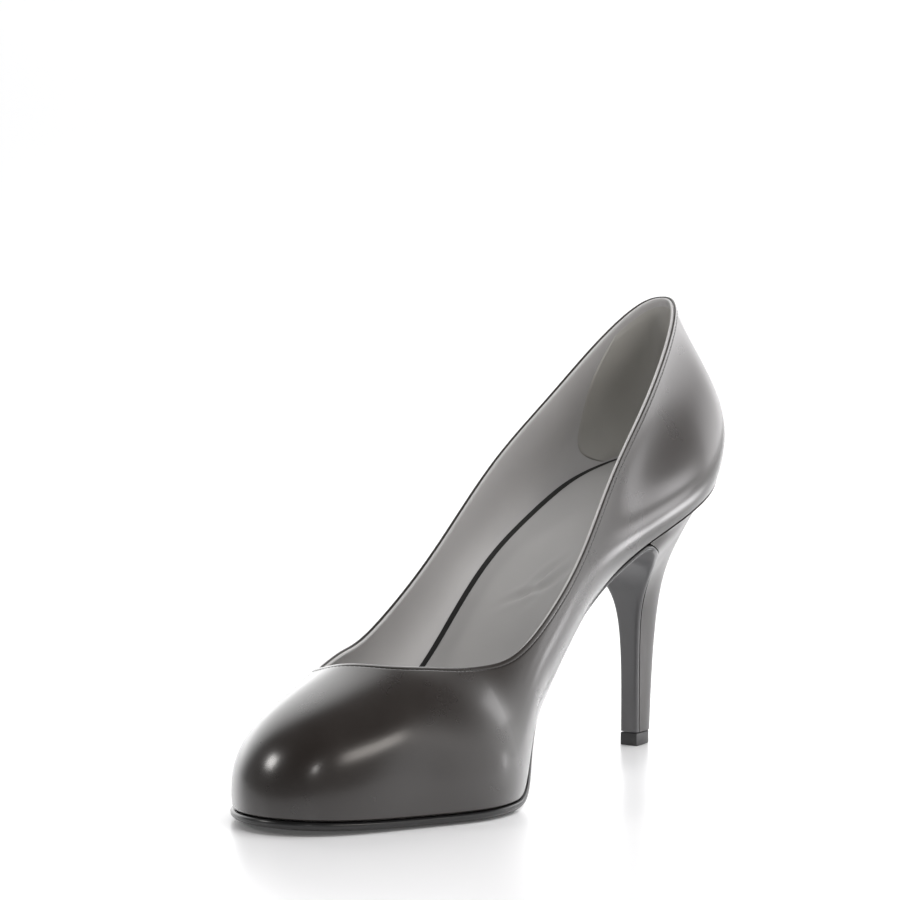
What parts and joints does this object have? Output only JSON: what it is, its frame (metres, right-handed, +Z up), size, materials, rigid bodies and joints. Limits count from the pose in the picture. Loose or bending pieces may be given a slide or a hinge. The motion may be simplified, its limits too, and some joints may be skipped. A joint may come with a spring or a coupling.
{
  "type": "platform pump",
  "caption": "High-heeled closed-toe pump with a hidden platform under the ball of the foot, a low throat, a slim covered heel and a thin leather sole that turns down the heel breast.",
  "frame": {"origin": "on the floor, in the middle of the shoe's footprint box", "axes": "+Z up, the toe points to -Y and the heel to +Y, +X is the outer side of this left shoe"},
  "size_m": [0.0853, 0.2405, 0.153],
  "materials": {
    "calf": "smooth dark taupe-brown calf, semi-gloss",
    "sole_leather": "black sole leather with a polished edge",
    "sock": "grey lining leather, satin",
    "heel_cover": "the upper's calf wrapped over the heel",
    "tip_plastic": "dark hard heel tip"
  },
  "bodies": {
    "root": {"upper": "calf", "sole": "sole_leather", "insole": "sock", "heel": "heel_cover", "heel_tip": "tip_plastic"}
  },
  "joints": []
}
